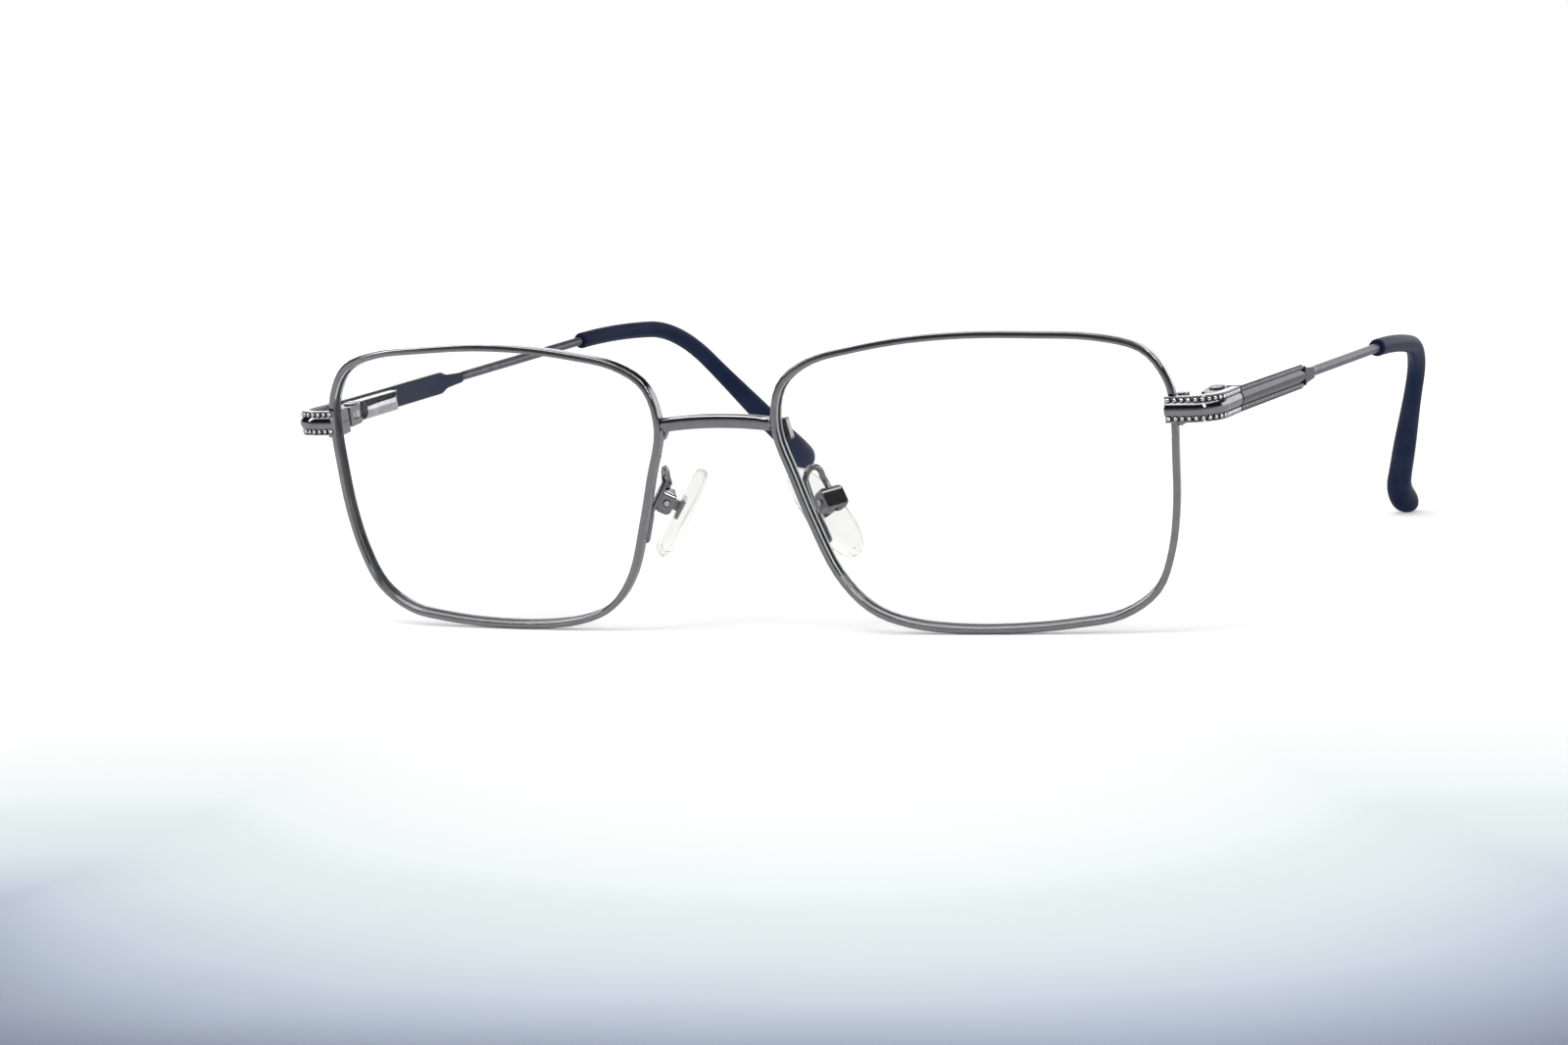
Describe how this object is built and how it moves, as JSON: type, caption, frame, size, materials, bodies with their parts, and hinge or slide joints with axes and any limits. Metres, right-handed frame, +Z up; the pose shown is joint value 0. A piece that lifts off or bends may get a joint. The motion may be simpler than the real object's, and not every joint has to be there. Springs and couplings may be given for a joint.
{
  "type": "eyeglasses",
  "caption": "Rectangular full-rim metal eyeglasses with clear lenses, screwed nose pads, and ridged, beaded temples on spring hinges with plastic ear tips.",
  "frame": {"origin": "on the table under the middle of the bounding box, with the temples open and the glasses standing on both rims and the left tip", "axes": "+X to the wearer's left, +Y backwards along the temples, +Z up"},
  "size_m": [0.1372, 0.1418, 0.0398],
  "materials": {
    "frame_metal": "polished gunmetal plating",
    "hinge_metal": "polished gunmetal plating, lighter",
    "screw_steel": "turned steel",
    "spring_steel": "drawn wire",
    "lens_clear": "clear demo lens, polished",
    "enamel_navy": "navy enamel",
    "tip_navy": "polished navy acetate",
    "pad_clear": "clear soft plastic"
  },
  "bodies": {
    "front": {"rim_left": "frame_metal", "rim_right": "frame_metal", "lens_left": "lens_clear", "lens_right": "lens_clear", "bridge": "frame_metal", "end_piece_left": "frame_metal", "end_piece_right": "frame_metal", "rim_lock_upper_left": "hinge_metal", "rim_lock_upper_right": "hinge_metal", "rim_lock_lower_left": "hinge_metal", "rim_lock_lower_right": "hinge_metal", "rim_screw_left": "screw_steel", "rim_screw_right": "screw_steel", "hinge_leaf_left": "hinge_metal", "hinge_leaf_right": "hinge_metal", "hinge_screw_left": "screw_steel", "hinge_screw_right": "screw_steel", "pad_arm_left": "hinge_metal", "pad_arm_right": "hinge_metal", "pad_box_left": "hinge_metal", "pad_box_right": "hinge_metal", "pad_screw_left": "screw_steel", "pad_screw_right": "screw_steel"},
    "slider_left": {"spring_slider_left": "screw_steel", "slider_cap_left": "screw_steel"},
    "temple_left": {"temple_left": "frame_metal", "spring_box_left": "hinge_metal", "spring_collar_left": "hinge_metal", "hinge_spring_left": "spring_steel", "enamel_left": "enamel_navy", "temple_tip_left": "tip_navy"},
    "pad_left": {"nose_pad_left": "pad_clear", "pad_insert_left": "screw_steel"},
    "slider_right": {"spring_slider_right": "screw_steel", "slider_cap_right": "screw_steel"},
    "temple_right": {"temple_right": "frame_metal", "spring_box_right": "hinge_metal", "spring_collar_right": "hinge_metal", "hinge_spring_right": "spring_steel", "enamel_right": "enamel_navy", "temple_tip_right": "tip_navy"},
    "pad_right": {"nose_pad_right": "pad_clear", "pad_insert_right": "screw_steel"}
  },
  "joints": [
    {"name": "fold_left", "type": "hinge", "parent": "front", "child": "slider_left", "pos_m": [0.0648, -0.05571, 0.02942], "axis": [0, -0.1419, 0.9899], "range_deg": [-2, 84]},
    {"name": "spring_left", "type": "slide", "parent": "slider_left", "child": "temple_left", "axis": [-0.0363, 0.9993, 0.0114], "range_m": [0, 0.001], "stiffness_N_per_m": 500, "deforming": ["hinge_spring_left"]},
    {"name": "pad_rock_left", "type": "hinge", "parent": "front", "child": "pad_left", "pos_m": [0.0123, -0.06115, 0.01733], "axis": [0.4848, 0.8658, 0.1241], "range_deg": [-8, 8]},
    {"name": "fold_right", "type": "hinge", "parent": "front", "child": "slider_right", "pos_m": [-0.0648, -0.05571, 0.02942], "axis": [0, 0.1419, -0.9899], "range_deg": [-2, 84]},
    {"name": "spring_right", "type": "slide", "parent": "slider_right", "child": "temple_right", "axis": [0.0365, 0.9968, 0.0706], "range_m": [0, 0.001], "stiffness_N_per_m": 500, "deforming": ["hinge_spring_right"]},
    {"name": "pad_rock_right", "type": "hinge", "parent": "front", "child": "pad_right", "pos_m": [-0.0123, -0.06115, 0.01733], "axis": [-0.4848, 0.8658, 0.1241], "range_deg": [-8, 8]}
  ]
}
